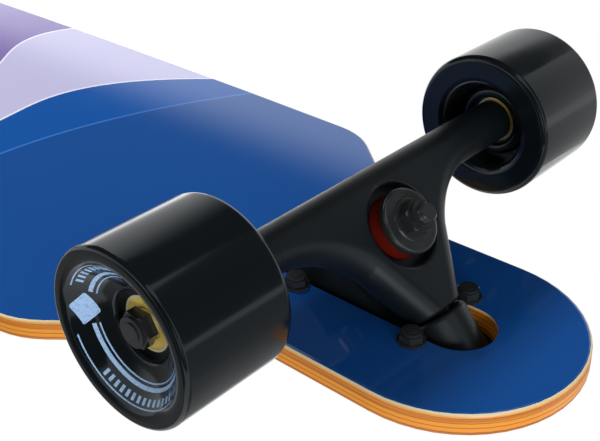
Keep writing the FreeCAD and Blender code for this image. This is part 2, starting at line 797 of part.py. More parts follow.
    round_edges(hanger, of("seat_rim_round"), on_seat_rim)
    bore_sketch = new_sketch(hanger, "YZ_Plane")
    draw_circle(bore_sketch, 0, up, of("ring_bore"))
    pocket(hanger, bore_sketch, 40, midplane=True)
    axle_sketch = new_sketch(hanger, "XZ_Plane")
    draw_circle(axle_sketch, 0, 0, of("axle_radius"))
    pocket(hanger, axle_sketch, of("hanger_half") * 2 + 4, midplane=True)
    place_tilted(hanger, "hanger")

    # axle and what is clamped on it
    axle_radius = of("axle_radius")
    race_outer = of("race_outer")
    bar = cylinder(end + "_bar", axle_radius, of("axle_end") * 2, y=-of("axle_end"), rotation=ALONG_Y)
    place_level(group(end + "_axle_node", [bar]), "axle")
    step = of("hanger_half")
    speed_rings = []
    races = []
    inner_ring = ring_of(end + "_ring_a", axle_radius, race_outer, step, of("speed_ring_thick"))
    first = step + of("speed_ring_thick")
    race_a = ring_of(end + "_race_a", axle_radius, race_outer, first, of("bearing_wide"))
    second = first + of("bearing_wide")
    spacer = ring_of(end + "_spacer", axle_radius, race_outer - 0.4, second, of("spacer_long"))
    third = second + of("spacer_long")
    race_b = ring_of(end + "_race_b", axle_radius, race_outer, third, of("bearing_wide"))
    fourth = third + of("bearing_wide")
    outer_ring = ring_of(end + "_ring_b", axle_radius, race_outer, fourth, of("speed_ring_thick"))
    nut_start = fourth + of("speed_ring_thick")
    axle_nut = nut_of(end + "_axle_nut", of("axle_nut_corner"), of("axle_nut_hex_tall"),
                      of("axle_nut_collar_radius"), of("axle_nut_tall"), axle_radius, ALONG_Y, y=nut_start)
    for ring in (inner_ring, outer_ring):
        speed_rings += [ring, mirrored(ring.Name + "_other", ring)]
    for race in (race_a, race_b):
        races += [race, mirrored(race.Name + "_other", race)]
    place_level(group(end + "_speed_ring_set", speed_rings), "speed_rings")
    place_level(group(end + "_race_set", races), "bearing_inner_races")
    spacers = [spacer, mirrored(end + "_spacer_other", spacer)]
    place_level(group(end + "_spacer_set", spacers), "bearing_spacers")
    axle_nuts = [axle_nut, mirrored(end + "_axle_nut_other", axle_nut)]
    place_level(group(end + "_axle_nut_set", axle_nuts), "axle_nuts")

    # wheels: tyre, core and the bearing parts that turn with them
    near = of("wheel_inner_face")
    far = near + of("wheel_wide")
    core_in = first - of("core_past_in")
    core_out = fourth - of("core_short_out")
    mouth = of("hub_mouth")
    for hand, turn in (("left", 0), ("right", 180)):
        name = f"{end}_{hand}"
        toward = FreeCAD.Rotation(Z_AXIS, turn)

        def place_wheel(feature, label):
            put(feature, rotation=toward, **spot)
            finish_node(feature, f"{name}_{label}")

        radius = of("wheel_radius")
        rim = of("rim_round")
        lip = of("lip_round")
        lip_top = radius - rim - of("rim_land")
        edge_round = of("hub_edge_round")
        hub_hole = of("dish_end") - edge_round
        outer_side = [(radius, far - rim), (radius - rim, far), (lip_top, far),
                      (lip_top - lip * math.sqrt(0.5), far - lip * (1 - math.sqrt(0.5))),
                      (of("dish_start"), far - of("dish_start_sunk")),
                      (of("dish_end"), far - of("dish_end_sunk")),
                      (hub_hole, far - of("dish_end_sunk") - edge_round), (hub_hole, core_out),
                      (of("core_outer"), core_out)]
        inner_rim = of("inner_rim_round")
        crest = of("dome_crest")
        crest_radius = mouth + of("dome_mouth_round")
        recess_rim = of("recess_rim_round")
        floor = of("recess_floor")
        dome = of("dome_round")
        inner_side = [(of("core_outer"), core_in), (mouth, core_in),
                      (mouth, crest + of("dome_mouth_round")),
                      (crest_radius, crest), (crest_radius + dome, crest + dome),
                      (of("recess_floor_start"), floor), (of("recess_floor_end"), floor),
                      (of("recess_wall"), near + recess_rim), (of("recess_wall") + recess_rim, near),
                      (radius - inner_rim, near), (radius, near + inner_rim)]
        rounds = {0: (rim, 1), 2: (lip, 1), 4: (of("dish_round"), -1), 5: (edge_round, 1),
                  11: (of("dome_mouth_round"), 1), 12: (dome, 1), 16: (recess_rim, 1), 18: (inner_rim, 1)}
        tyre = turned_body(name + "_tyre", "XY_Plane", outer_side + inner_side, "V_Axis", rounds)
        place_wheel(tyre, "wheel")
        core = turned_body(name + "_hub", "XY_Plane",
                           [(of("core_outer"), core_in), (of("core_outer"), core_out),
                            (of("bearing_radius"), core_out), (of("bearing_radius"), third),
                            (of("core_stop"), third), (of("core_stop"), second),
                            (of("bearing_radius"), second), (of("bearing_radius"), core_in)], "V_Axis")
        place_wheel(core, "wheel_core")
        outer_races = []
        shields = []
        for tag, start in (("a", first), ("b", third)):
            outer_races.append(ring_of(f"{name}_outer_{tag}", of("outer_race_inner"), of("bearing_radius"),
                                       start, of("bearing_wide")))
            shields.append(ring_of(f"{name}_shield_{tag}", of("shield_inner"), of("outer_race_inner"),
                                   start + of("shield_sunk"), of("bearing_wide") - of("shield_sunk") * 2))
        place_wheel(group(name + "_outer_set", outer_races), "bearing_outer_races")
        place_wheel(group(name + "_shield_set", shields), "bearing_shields")


build_truck("front", 1)
build_truck("rear", -1)
doc.recompute()

for feature in doc.Objects:
    if "Invalid" in feature.State or "Error" in feature.State:
        raise RuntimeError(f"{feature.Name} {feature.Label}: {feature.State}")
os.makedirs("parts", exist_ok=True)
for feature in nodes:
    shape = feature.Shape
    if shape.isNull() or not shape.isValid():
        raise RuntimeError(f"{feature.Label} has no valid shape")
    shape.exportStep(f"parts/{feature.Label}.step")
    print(feature.Label, len(shape.Solids), round(shape.Volume, 1))
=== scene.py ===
import json
import math
import bmesh
import bpy
from mathutils import Matrix, Vector


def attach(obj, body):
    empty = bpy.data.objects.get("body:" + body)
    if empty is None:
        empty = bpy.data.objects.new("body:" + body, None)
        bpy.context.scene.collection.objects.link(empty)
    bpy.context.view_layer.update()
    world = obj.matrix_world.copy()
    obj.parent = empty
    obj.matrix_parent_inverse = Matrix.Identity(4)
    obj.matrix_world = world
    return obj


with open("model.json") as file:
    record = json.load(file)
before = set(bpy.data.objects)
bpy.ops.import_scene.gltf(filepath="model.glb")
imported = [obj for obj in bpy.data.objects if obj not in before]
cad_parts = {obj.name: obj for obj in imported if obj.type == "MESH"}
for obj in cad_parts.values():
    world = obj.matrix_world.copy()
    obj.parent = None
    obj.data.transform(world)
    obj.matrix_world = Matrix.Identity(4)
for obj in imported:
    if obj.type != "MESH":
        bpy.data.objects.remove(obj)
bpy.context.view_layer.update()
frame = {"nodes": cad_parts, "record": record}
nodes = frame["nodes"]
ends = {"front": 1, "rear": -1}
hands = {"left": 1, "right": -1}
axleX, axleZ = 0.4165, 0.035  # where each axle crosses the board's middle line
deckUnder, deckTop = 0.081, 0.092
paintedBlueShineTint = (0.84, 0.94, 1.0, 1.0)  # a painted blue reflection: a blue cast laid on the shine of black plastic and paint, standing in for the bluish studio they mirror
print("frame loaded:", len(nodes), "nodes")

scene = bpy.context.scene
scene.view_settings.view_transform = "Standard"


# colours are written as sRGB hex and turned to linear here
def linear(hexColour):
    parts = [int(hexColour[i:i + 2], 16) / 255 for i in (1, 3, 5)]
    return [c / 12.92 if c <= 0.04045 else ((c + 0.055) / 1.055) ** 2.4 for c in parts] + [1.0]


# adds one node: settings go to inputs or properties, links join earlier outputs to inputs
def addNode(tree, kind, settings=None, links=None):
    node = tree.nodes.new(kind)
    for key, value in (settings or {}).items():
        if isinstance(key, int) or key in node.inputs:
            node.inputs[key].default_value = value
        else:
            setattr(node, key, value)
    for key, output in (links or {}).items():
        tree.links.new(output, node.inputs[key])
    return node


# sets a two-colour ramp from its positions and hex colours
def setRamp(node, positions, colours):
    for element, position, colour in zip(node.color_ramp.elements, positions, colours):
        element.position = position
        element.color = linear(colour)


# an empty material: its node tree has nothing in it yet
def startTree(name):
    material = bpy.data.materials.new(name)
    material.use_nodes = True
    material.node_tree.nodes.clear()
    return material, material.node_tree


def startMaterial(name, settings):
    material, tree = startTree(name)
    shader = addNode(tree, "ShaderNodeBsdfPrincipled", settings)
    addNode(tree, "ShaderNodeOutputMaterial", links={"Surface": shader.outputs[0]})
    place = addNode(tree, "ShaderNodeTexCoord").outputs["Object"]
    return material, tree, shader, place


# fine unevenness of a coat or casting, at a grain size in millimetres
def addGrainBump(tree, shader, place, grainMm, strength, depthMm):
    noise = addNode(tree, "ShaderNodeTexNoise", {"Scale": 1000 / grainMm, "Detail": 3.0}, {"Vector": place})
    bump = addNode(tree, "ShaderNodeBump", {"Strength": strength, "Distance": depthMm / 1000},
                   {"Height": noise.outputs["Fac"]})
    tree.links.new(bump.outputs[0], shader.inputs["Normal"])


# roughness that wanders between two values over patches of a size in millimetres
def addRoughnessDrift(tree, shader, place, patchMm, low, high):
    noise = addNode(tree, "ShaderNodeTexNoise", {"Scale": 1000 / patchMm, "Detail": 4.0}, {"Vector": place})
    drift = addNode(tree, "ShaderNodeMapRange",
                    {"From Min": 0.3, "From Max": 0.7, "To Min": low, "To Max": high},
                    {"Value": noise.outputs["Fac"]})
    tree.links.new(drift.outputs[0], shader.inputs["Roughness"])


deckLook = {
    "navy": "#134a90", "blue": "#0c509e", "lavender": "#bdbadb", "purple": "#7c6ba8",
    "paleLine": "#e4e3f4", "blueLine": "#336cb8",
    # zone edges on the print: x in metres as (constant, times y, times y squared),
    # and the y past which they stay level
    "purpleEdge": (0.1481, 2.3086, 11.608, -0.04), "lavenderEdge": (0.1408, 0.4555, 6.974, 0.0),
    "blueEdge": (0.1809, -0.1543, 1.813, 0.03),
    "mirrorX": -0.1, "edgeEase": 0.04, "lineWide": 0.002,
    "woodPale": "#fa9f2a", "woodMid": "#bb620f", "woodDark": "#6b3710", "paleBand": "#efdcae",
    "plies": 5, "plyContrast": 0.55, "streakMm": (70, 70, 0.67), "streakRamp": (0.40, 0.80),
    "glueEdges": (0.05, 0.14), "glueDepth": 0.6,  # shares of a ply
    "paleBandFade": (0.0016, 0.0008), "printDeep": 0.00035,  # metres above the underside
    # the shine's tint is a painted blue reflection: a blue cast on the haze over the print and on the rim
    "shine": 0.66, "paintedBlueLacquerTint": (0.66, 0.86, 1.0, 1.0),
    "rough": {"rim": 0.42, "print": 0.08}, "lacquer": {"rim": 0.0, "print": 0.15},
}


# signed distance along x past one zone edge of the print
def addEdgeDistance(tree, along, y, edge):
    constant, slope, bend, limit = edge
    held = addNode(tree, "ShaderNodeMath", {"operation": "SMOOTH_MIN", 1: limit, 2: deckLook["edgeEase"]},
                   {0: y})
    inner = addNode(tree, "ShaderNodeMath", {"operation": "MULTIPLY_ADD", 1: bend, 2: slope},
                    {0: held.outputs[0]})
    curve = addNode(tree, "ShaderNodeMath", {"operation": "MULTIPLY_ADD", 2: constant},
                    {0: inner.outputs[0], 1: held.outputs[0]})
    past = addNode(tree, "ShaderNodeMath", {"operation": "SUBTRACT"}, {0: along, 1: curve.outputs[0]})
    return past.outputs[0]


# lays a colour over another where the distance is past zero, with a thin line along the edge
def addZone(tree, under, distance, colour, lineColour):
    past = addNode(tree, "ShaderNodeMath", {"operation": "GREATER_THAN", 1: 0.0}, {0: distance})
    zone = addNode(tree, "ShaderNodeMix", {"data_type": "RGBA", 7: linear(deckLook[colour])},
                   {0: past.outputs[0], 6: under})
    onLine = addNode(tree, "ShaderNodeMath", {"operation": "COMPARE", 1: 0.0, 2: deckLook["lineWide"] / 2},
                     {0: distance})
    return addNode(tree, "ShaderNodeMix", {"data_type": "RGBA", 7: linear(deckLook[lineColour])},
                   {0: onLine.outputs[0], 6: zone.outputs[2]}).outputs[2]


def makeDeckMaterial():
    # Lacquered maple ply: screen print under clear coat below, bare sanded ply lines round the rim.
    # its Specular Tint lays a painted blue reflection over print and rim
    material, tree, shader, place = startMaterial("lacqueredMaplePly", {
        "IOR": 1.5, "Coat Roughness": 0.05, "Coat IOR": 1.5,
        "Specular IOR Level": deckLook["shine"], "Specular Tint": deckLook["paintedBlueLacquerTint"]})
    x, y, z = addNode(tree, "ShaderNodeSeparateXYZ", links={"Vector": place}).outputs

    # print: four colour zones with curved edges, mirrored about one line across the board
    shifted = addNode(tree, "ShaderNodeMath", {"operation": "SUBTRACT", 1: deckLook["mirrorX"]}, {0: x})
    folded = addNode(tree, "ShaderNodeMath", {"operation": "ABSOLUTE"}, {0: shifted.outputs[0]})
    along = addNode(tree, "ShaderNodeMath", {"operation": "ADD", 1: deckLook["mirrorX"]},
                    {0: folded.outputs[0]}).outputs[0]
    ground = addNode(tree, "ShaderNodeRGB")
    ground.outputs[0].default_value = linear(deckLook["purple"])
    art = ground.outputs[0]
    zones = (("purpleEdge", "lavender", "paleLine"), ("lavenderEdge", "blue", "paleLine"),
             ("blueEdge", "navy", "blueLine"))
    for edge, colour, lineColour in zones:
        distance = addEdgeDistance(tree, along, y, deckLook[edge])
        art = addZone(tree, art, distance, colour, lineColour)

    # rim: one veneer per ply, with a dark glue line between them and long streaky grain
    plyPlace = addNode(tree, "ShaderNodeMapRange",
                       {"From Min": deckUnder, "From Max": deckTop, "To Max": deckLook["plies"]},
                       {"Value": z})
    inPly = addNode(tree, "ShaderNodeMath", {"operation": "FRACT"}, {0: plyPlace.outputs[0]})
    glue = addNode(tree, "ShaderNodeMath", {"operation": "PINGPONG", 1: 0.5}, {0: inPly.outputs[0]})
    streakScale = [1000 / mm for mm in deckLook["streakMm"]]
    streakPlace = addNode(tree, "ShaderNodeMapping", {"Scale": streakScale}, {"Vector": place})
    streak = addNode(tree, "ShaderNodeTexNoise", {"Scale": 1.0, "Detail": 6.0},
                     {"Vector": streakPlace.outputs[0]})
    plyNumber = addNode(tree, "ShaderNodeMath", {"operation": "FLOOR"}, {0: plyPlace.outputs[0]})
    plyShade = addNode(tree, "ShaderNodeTexWhiteNoise", {"noise_dimensions": "1D"},
                       {"W": plyNumber.outputs[0]})
    tone = addNode(tree, "ShaderNodeMath", {"operation": "MULTIPLY_ADD", 1: deckLook["plyContrast"]},
                   {0: plyShade.outputs["Value"], 2: streak.outputs["Fac"]})
    wood = addNode(tree, "ShaderNodeValToRGB", links={"Fac": tone.outputs[0]})
    setRamp(wood, deckLook["streakRamp"], (deckLook["woodMid"], deckLook["woodPale"]))
    glueStart, glueEnd = deckLook["glueEdges"]
    glueMask = addNode(tree, "ShaderNodeMapRange",
                       {"From Min": glueStart, "From Max": glueEnd,
                        "To Min": deckLook["glueDepth"], "To Max": 0.0}, {"Value": glue.outputs[0]})
    plies = addNode(tree, "ShaderNodeMix", {"data_type": "RGBA", 7: linear(deckLook["woodDark"])},
                    {0: glueMask.outputs[0], 6: wood.outputs[0]})
    # the rim is painted pale in a thin band next to the print
    fadeStart, fadeEnd = deckLook["paleBandFade"]
    inPaleBand = addNode(tree, "ShaderNodeMapRange",
                       {"From Min": deckUnder + fadeStart, "From Max": deckUnder + fadeEnd}, {"Value": z})
    rim = addNode(tree, "ShaderNodeMix", {"data_type": "RGBA", 7: linear(deckLook["paleBand"])},
                  {0: inPaleBand.outputs[0], 6: plies.outputs[2]})

    printTop = deckUnder + deckLook["printDeep"]
    onPrint = addNode(tree, "ShaderNodeMath", {"operation": "LESS_THAN", 1: printTop}, {0: z}).outputs[0]
    paint = addNode(tree, "ShaderNodeMix", {"data_type": "RGBA"}, {0: onPrint, 6: rim.outputs[2], 7: art})
    tree.links.new(paint.outputs[2], shader.inputs["Base Color"])
    for socket, look in (("Roughness", deckLook["rough"]), ("Coat Weight", deckLook["lacquer"])):
        finish = addNode(tree, "ShaderNodeMapRange", {"To Min": look["rim"], "To Max": look["print"]},
                         {"Value": onPrint})
        tree.links.new(finish.outputs[0], shader.inputs[socket])
    return material


# real grit is 0.3 mm, drawn coarser so that it shows
gripLook = {"base": "#17181a", "sparkle": "#3d3f42", "gritMm": 0.9, "gritDeepMm": 0.4}


def makeGripMaterial():
    # Grip tape: silicon carbide grit on cloth, dull black with pale specks.
    material, tree, shader, place = startMaterial("gripTapeGrit", {
        "Roughness": 0.9, "Specular IOR Level": 0.3})
    grit = addNode(tree, "ShaderNodeTexVoronoi", {"Scale": 1000 / gripLook["gritMm"]}, {"Vector": place})
    mix = addNode(tree, "ShaderNodeMix",
                  {"data_type": "RGBA", 6: linear(gripLook["sparkle"]), 7: linear(gripLook["base"])},
                  {0: grit.outputs["Distance"]})
    tree.links.new(mix.outputs[2], shader.inputs["Base Color"])
    bump = addNode(tree, "ShaderNodeBump",
                   {"Strength": 0.8, "Distance": gripLook["gritDeepMm"] / 1000, "invert": True},
                   {"Height": grit.outputs["Distance"]})
    tree.links.new(bump.outputs[0], shader.inputs["Normal"])
    return material


# grain is (size mm, strength, depth mm) and drift is (patch mm, lowest, highest roughness)
coatLook = {"colour": "#0f1417", "grain": (1.1, 0.06, 0.2), "drift": (18, 0.34, 0.42)}


def makeCoatMaterial():
    # Powder coat on cast aluminium: satin black with a fine orange peel.
    # the Specular Tint paints a blue cast into this coat's reflections
    material, tree, shader, place = startMaterial("blackPowderCoat", {
        "Base Color": linear(coatLook["colour"]), "IOR": 1.5,
        "Specular IOR Level": 0.35, "Specular Tint": paintedBlueShineTint})
    addGrainBump(tree, shader, place, *coatLook["grain"])
    addRoughnessDrift(tree, shader, place, *coatLook["drift"])
    return material


blackSteelLook = {"colour": "#45494a", "metallic": 0.7, "grain": (0.8, 0.10, 0.12), "drift": (6, 0.16, 0.28)}


def makeBlackSteelMaterial():
    # Black oxide steel: dark metal with a thin oily shine.
    material, tree, shader, place = startMaterial("blackOxideSteel", {
        "Base Color": linear(blackSteelLook["colour"]), "Metallic": blackSteelLook["metallic"]})
    addGrainBump(tree, shader, place, *blackSteelLook["grain"])
    addRoughnessDrift(tree, shader, place, *blackSteelLook["drift"])
    return material


brightSteelLook = {"colour": "#e6dcae", "metallic": 0.5, "drift": (3, 0.32, 0.45)}


def makeBrightSteelMaterial():
    # Straw-tempered bearing steel: bright, with a warm yellow cast.
    material, tree, shader, place = startMaterial("strawTemperedSteel", {
        "Base Color": linear(brightSteelLook["colour"]), "Metallic": brightSteelLook["metallic"]})
    addRoughnessDrift(tree, shader, place, *brightSteelLook["drift"])
    return material


shieldLook = {"colour": "#f0d468", "metallic": 0.35, "drift": (3, 0.30, 0.45)}


def makeShieldMaterial():
    # Brass-plated bearing shield: warm yellow, softly polished.
    material, tree, shader, place = startMaterial("brassPlate", {
        "Base Color": linear(shieldLook["colour"]), "Metallic": shieldLook["metallic"]})
    addRoughnessDrift(tree, shader, place, *shieldLook["drift"])
    return material


bushingLook = {"colour": "#66180f", "glowReach": (0.004, 0.001, 0.0008), "drift": (8, 0.10, 0.18)}


def makeBushingMaterial():
    # Cast urethane bushing: clear red, lit through its edges.
    material, tree, shader, place = startMaterial("redUrethane", {
        "Base Color": linear(bushingLook["colour"]), "IOR": 1.5, "Transmission Weight": 0.15,
        "Coat Weight": 0.8, "Coat Roughness": 0.06,
        "Subsurface Weight": 0.25, "Subsurface Radius": bushingLook["glowReach"]})
    addRoughnessDrift(tree, shader, place, *bushingLook["drift"])
    return material


tyreLook = {"colour": "#0d1215", "grain": (6, 0.03, 0.2), "drift": (25, 0.10, 0.17)}


def makeTyreMaterial():
    # Cast polyurethane wheel: gloss black from a polished mould.
    # the Specular Tint paints a blue cast into this urethane's reflections
    material, tree, shader, place = startMaterial("blackUrethane", {
        "Base Color": linear(tyreLook["colour"]), "IOR": 1.5,
        "Specular IOR Level": 0.4, "Specular Tint": paintedBlueShineTint})
    addGrainBump(tree, shader, place, *tyreLook["grain"])
    addRoughnessDrift(tree, shader, place, *tyreLook["drift"])
    return material


coreLook = {"colour": "#0e1215", "grain": (1.5, 0.08, 0.15), "drift": (10, 0.30, 0.42)}


def makeCoreMaterial():
    # Moulded nylon core: plain satin black.
    # the Specular Tint paints a blue cast into this nylon's reflections
    material, tree, shader, place = startMaterial("blackNylon", {
        "Base Color": linear(coreLook["colour"]), "IOR": 1.5,
        "Specular IOR Level": 0.35, "Specular Tint": paintedBlueShineTint})
    addGrainBump(tree, shader, place, *coreLook["grain"])
    addRoughnessDrift(tree, shader, place, *coreLook["drift"])
    return material


slotMaterials = {
    "deck_wood": makeDeckMaterial(), "grip_tape": makeGripMaterial(), "black_coat": makeCoatMaterial(),
    "black_steel": makeBlackSteelMaterial(), "bright_steel": makeBrightSteelMaterial(),
    "gold_shield": makeShieldMaterial(), "red_urethane": makeBushingMaterial(),
    "black_urethane": makeTyreMaterial(), "black_plastic": makeCoreMaterial(),
}
for row in frame["record"]["subparts"]:
    node = nodes[row["node"]]
    node.data.materials.clear()
    node.data.materials.append(slotMaterials[row["material_slot"]])
print("materials set:", len(slotMaterials))


# links a finished mesh and rides it on a body
def newPiece(name, mesh, material, body):
    data = bpy.data.meshes.new(name)
    bmesh.ops.remove_doubles(mesh, verts=mesh.verts, dist=1e-7)
    bmesh.ops.recalc_face_normals(mesh, faces=mesh.faces)
    mesh.to_mesh(data)
    mesh.free()
    data.materials.append(material)
    piece = bpy.data.objects.new(name, data)
    scene.collection.objects.link(piece)
    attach(piece, body)


printLook = {
    # the dish of the wheel's outer face: a cone down to coneEnd, then a round bowl,
    # each point as (radius, depth below the rim)
    "faceOut": 0.1363, "coneStart": (0.02796, 0.00146), "coneEnd": (0.0242, 0.0052),
    "bowlEnd": (0.0156, 0.0104), "bowlRound": 0.022, "halfThick": 0.00016, "stepDegrees": 3,
    # (inner radius, outer radius, start and end in degrees from +X towards +Z)
    "arcs": [(0.0217, 0.0229, 12, 164), (0.0203, 0.0207, 12, 164),
             (0.0217, 0.0229, 200, 348), (0.0203, 0.0207, 200, 348),
             (0.0273, 0.0276, 30, 158), (0.0273, 0.0276, 204, 330)],
    "ticks": {"radii": (0.0247, 0.0266), "starts": (34, 210), "count": 14, "gap": 6.6, "wide": 3.0},
    "badge": {"angle": 181, "radius": 0.0235, "half": 0.0046, "cells": 16, "corner": 0.0012, "lean": 53,
              "squash": (0.68, 1.08, 1)},
    "ink": ("#6f97c9", "#a3c6ee"), "inkRamp": (0.25, 0.5), "wearMm": 1.1, "drift": (5, 0.25, 0.4),
}


def makePrintMaterial():
    # Pad-printed ink on the wheel's face: flat pale blue, thin enough to show some black.
    material, tree, shader, place = startMaterial("palePadPrint", {"IOR": 1.5})
    wear = addNode(tree, "ShaderNodeTexNoise", {"Scale": 1000 / printLook["wearMm"], "Detail": 5.0},
                   {"Vector": place})
    ink = addNode(tree, "ShaderNodeValToRGB", links={"Fac": wear.outputs["Fac"]})
    setRamp(ink, printLook["inkRamp"], printLook["ink"])
    tree.links.new(ink.outputs[0], shader.inputs["Base Color"])
    addRoughnessDrift(tree, shader, place, *printLook["drift"])
    return material


printInk = makePrintMaterial()


# how far the wheel's dish stands out from the middle of the board at a radius
def faceHeight(radius):
    (startR, startD), (endR, endD) = printLook["coneEnd"], printLook["bowlEnd"]
    if radius >= startR:
        coneR, coneD = printLook["coneStart"]
        share = (coneR - radius) / (coneR - startR)
        return printLook["faceOut"] - coneD - share * (startD - coneD)
    start, end = Vector((startR, -startD)), Vector((endR, -endD))
    chord = end - start
    reach = math.sqrt(printLook["bowlRound"] ** 2 - chord.length_squared / 4)
    centre = (start + end) / 2 + Vector((chord.y, -chord.x)).normalized() * reach
    return printLook["faceOut"] + centre.y - math.sqrt(printLook["bowlRound"] ** 2 - (radius - centre.x) ** 2)


# one printed bar: a thin section on the face, spun about the axle
def addPrintBar(mesh, inner, outer, start, end):
    lift = printLook["halfThick"]
    corners = [(inner, -lift), (outer, -lift), (outer, lift), (inner, lift)]
    section = [mesh.verts.new((r, faceHeight(r) + up, 0)) for r, up in corners]
    face = mesh.faces.new(section)
    turn = Matrix.Rotation(math.radians(-start), 3, "Y")
    bmesh.ops.rotate(mesh, verts=section, cent=(0, 0, 0), matrix=turn)
    steps = max(1, round(abs(end - start) / printLook["stepDegrees"]))
    bmesh.ops.spin(mesh, geom=[face, *face.edges, *face.verts], cent=(0, 0, 0), axis=(0, 1, 0),
                   angle=math.radians(start - end), steps=steps)


# a plain square badge standing on its corner, laid into the dish
def addPrintBadge(mesh):
    badge = printLook["badge"]
    bmesh.ops.create_grid(mesh, x_segments=badge["cells"], y_segments=badge["cells"], size=badge["half"])
    corners = [v for v in mesh.verts if len(v.link_edges) == 2]
    bmesh.ops.bevel(mesh, geom=corners, offset=badge["corner"], affect="VERTICES", segments=1, profile=0.5,
                    material=-1)
    lean = Matrix.Rotation(math.radians(badge["lean"]), 3, "Z")
    bmesh.ops.rotate(mesh, verts=mesh.verts, cent=(0, 0, 0), matrix=lean)
    bmesh.ops.scale(mesh, verts=mesh.verts, vec=badge["squash"])
    bmesh.ops.translate(mesh, verts=mesh.verts, vec=(badge["radius"], 0, 0))
    for v in mesh.verts:
        along, side = v.co.x, v.co.y
        v.co = (along, faceHeight(math.hypot(along, side)) + printLook["halfThick"], side)
    bmesh.ops.solidify(mesh, geom=mesh.faces[:], thickness=printLook["halfThick"] * 2)
    turn = Matrix.Rotation(math.radians(-badge["angle"]), 3, "Y")
    bmesh.ops.rotate(mesh, verts=mesh.verts, cent=(0, 0, 0), matrix=turn)


def makeWheelPrint(end, hand):
    mesh = bmesh.new()
    addPrintBadge(mesh)
    for inner, outer, start, stop in printLook["arcs"]:
        addPrintBar(mesh, inner, outer, start, stop)
    ticks = printLook["ticks"]
    for first in ticks["starts"]:
        for i in range(ticks["count"]):
            start = first + i * ticks["gap"]
            addPrintBar(mesh, *ticks["radii"], start, start + ticks["wide"])
    if hands[hand] < 0:
        bmesh.ops.rotate(mesh, verts=mesh.verts, cent=(0, 0, 0), matrix=Matrix.Rotation(math.pi, 3, "Z"))
    bmesh.ops.translate(mesh, verts=mesh.verts, vec=(axleX * ends[end], 0, axleZ))
    newPiece(f"{end}_{hand}_wheel_print", mesh, printInk, f"{end}_{hand}_wheel")


for end in ends:
    for hand in hands:
        makeWheelPrint(end, hand)
print("wheel prints made")


stageLook = {
    "floor": "#f2f2f1", "floorSize": 40.0, "floorDrop": 0.0002,
    "evenShare": 0.66,  # how much of the floor's brightness is even, and how much comes from the lamps
    "skyLight": 0.36, "skySeen": 1.0,
}


# hides a stage object from some kinds of ray
def hideFrom(thing, *rays):
    for ray in rays:
        setattr(thing, "visible_" + ray, False)


def makeStagePlane(name, size, centre, facing, material):
    mesh = bmesh.new()
    bmesh.ops.create_grid(mesh, x_segments=1, y_segments=1, size=size / 2)
    turn = Vector(facing).to_track_quat("Z", "Y").to_matrix().to_4x4()
    bmesh.ops.transform(mesh, matrix=Matrix.Translation(centre) @ turn, verts=mesh.verts)
    data = bpy.data.meshes.new(name)
    mesh.to_mesh(data)
    mesh.free()
    data.materials.append(material)
    plane = bpy.data.objects.new(name, data)
    scene.collection.objects.link(plane)
    return plane


def makeFloorMaterial():
    # Pale paper, evened out for the camera; from below, where the photograph looks from, it is clear.
    material, tree = startTree("palePaperFloor")
    paper = addNode(tree, "ShaderNodeBsdfDiffuse", {"Color": linear(stageLook["floor"])})
    even = addNode(tree, "ShaderNodeEmission", {"Color": linear(stageLook["floor"]), "Strength": 1.0})
    seen = addNode(tree, "ShaderNodeLightPath").outputs["Is Camera Ray"]
    share = addNode(tree, "ShaderNodeMath", {"operation": "MULTIPLY", 1: stageLook["evenShare"]}, {0: seen})
    pale = addNode(tree, "ShaderNodeMixShader",
                   links={0: share.outputs[0], 1: paper.outputs[0], 2: even.outputs[0]})
    clear = addNode(tree, "ShaderNodeBsdfTransparent")
    back = addNode(tree, "ShaderNodeNewGeometry").outputs["Backfacing"]
    mix = addNode(tree, "ShaderNodeMixShader", links={0: back, 1: pale.outputs[0], 2: clear.outputs[0]})
    addNode(tree, "ShaderNodeOutputMaterial", links={"Surface": mix.outputs[0]})
    return material


floorPlace = (0, 0, -stageLook["floorDrop"])
floor = makeStagePlane("floor", stageLook["floorSize"], floorPlace, (0, 0, 1), makeFloorMaterial())
hideFrom(floor, "shadow", "glossy", "diffuse", "transmission")


# white to the eye and in reflections, dimmer as a light
def makeWorld():
    world = bpy.data.worlds.new("whiteStudio")
    world.use_nodes = True
    tree = world.node_tree
    tree.nodes.clear()
    rays = addNode(tree, "ShaderNodeLightPath")
    seen = addNode(tree, "ShaderNodeMath", {"operation": "MAXIMUM"},
                   {0: rays.outputs["Is Camera Ray"], 1: rays.outputs["Is Transmission Ray"]})
    bright = addNode(tree, "ShaderNodeMath", {"operation": "MAXIMUM"},
                     {0: seen.outputs[0], 1: rays.outputs["Is Glossy Ray"]})
    level = addNode(tree, "ShaderNodeMapRange",
                    {"To Min": stageLook["skyLight"], "To Max": stageLook["skySeen"]},
                    {"Value": bright.outputs[0]})
    sky = addNode(tree, "ShaderNodeBackground", {"Color": (1, 1, 1, 1)}, {"Strength": level.outputs[0]})
    addNode(tree, "ShaderNodeOutputWorld", links={"Surface": sky.outputs[0]})
    scene.world = world


makeWorld()

lampLook = {
    # name: (place, aim, size, watts, shows in reflections)
    "keyBelow": ((-0.52, -0.25, -1.16), (0.42, 0.0, 0.06), 0.18, 20.0, False),
    "sideRim": ((1.75, 0.85, -0.10), (0.42, 0.05, 0.08), 0.6, 15.0, True),
    "keyAbove": ((0.60, -0.90, 1.60), (0.0, 0.0, 0.08), 1.4, 16.0, True),
    "fillAbove": ((-0.90, 0.90, 1.20), (0.0, 0.0, 0.08), 1.4, 8.0, False),
}
for name, (place, aim, size, watts, mirrored) in lampLook.items():
    light = bpy.data.lights.new(name, "AREA")
    light.shape = "SQUARE"
    light.size = size
    light.energy = watts
    lamp = bpy.data.objects.new(name, light)
    lamp.location = place
    lamp.rotation_mode = "QUATERNION"
    lamp.rotation_quaternion = (Vector(aim) - Vector(place)).to_track_quat("-Z", "Y")
    if not mirrored:
        hideFrom(lamp, "glossy")
    scene.collection.objects.link(lamp)

